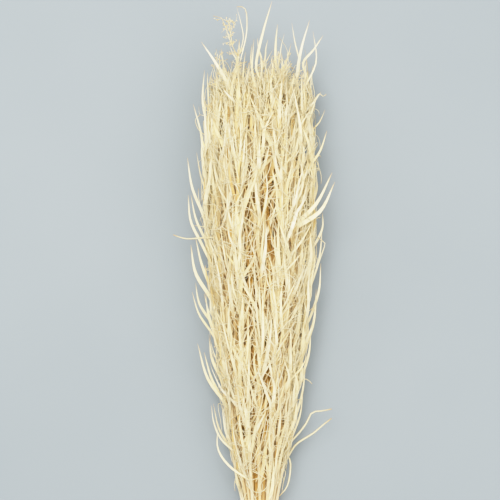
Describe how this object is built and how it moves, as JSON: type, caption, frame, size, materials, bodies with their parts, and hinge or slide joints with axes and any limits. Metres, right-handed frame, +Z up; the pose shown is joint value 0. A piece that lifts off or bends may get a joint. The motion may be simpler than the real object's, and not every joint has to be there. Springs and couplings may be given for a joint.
{
  "type": "bundle of dried pampas grass",
  "caption": "Bunch of bleached dried pampas grass stalks with narrow pointed blades along their upper two thirds, tied with twine near the cut ends and lying on its side.",
  "frame": {"origin": "the middle of the bounding rectangle on the surface that the bundle rests on", "axes": "+Y along the bundle from the cut ends to the tips, +X across it, +Z up from the surface"},
  "size_m": [0.2386, 0.9844, 0.1219],
  "materials": {
    "straw_culm": "dry straw with a faint satin skin",
    "bleached_blade": "matt bleached leaf",
    "jute_twine": "rough spun fibre"
  },
  "bodies": {
    "root": {"stem_01": "straw_culm", "stem_02": "straw_culm", "stem_03": "straw_culm", "stem_04": "straw_culm", "stem_05": "straw_culm", "stem_06": "straw_culm", "stem_07": "straw_culm", "stem_08": "straw_culm", "stem_09": "straw_culm", "stem_10": "straw_culm", "stem_11": "straw_culm", "stem_12": "straw_culm", "stem_13": "straw_culm", "stem_14": "straw_culm", "stem_15": "straw_culm", "stem_16": "straw_culm", "stem_17": "straw_culm", "stem_18": "straw_culm", "stem_19": "straw_culm", "stem_20": "straw_culm", "stem_21": "straw_culm", "stem_22": "straw_culm", "stem_23": "straw_culm", "stem_24": "straw_culm", "stem_25": "straw_culm", "stem_26": "straw_culm", "stem_27": "straw_culm", "plume_01": "bleached_blade", "plume_02": "bleached_blade", "plume_03": "bleached_blade", "plume_04": "bleached_blade", "plume_05": "bleached_blade", "plume_06": "bleached_blade", "plume_07": "bleached_blade", "plume_08": "bleached_blade", "plume_09": "bleached_blade", "plume_10": "bleached_blade", "plume_11": "bleached_blade", "plume_12": "bleached_blade", "plume_13": "bleached_blade", "plume_14": "bleached_blade", "plume_15": "bleached_blade", "plume_16": "bleached_blade", "plume_17": "bleached_blade", "plume_18": "bleached_blade", "plume_19": "bleached_blade", "plume_20": "bleached_blade", "plume_21": "bleached_blade", "plume_22": "bleached_blade", "plume_23": "bleached_blade", "plume_24": "bleached_blade", "plume_25": "bleached_blade", "plume_26": "bleached_blade", "plume_27": "bleached_blade", "tie": "jute_twine"}
  },
  "joints": []
}
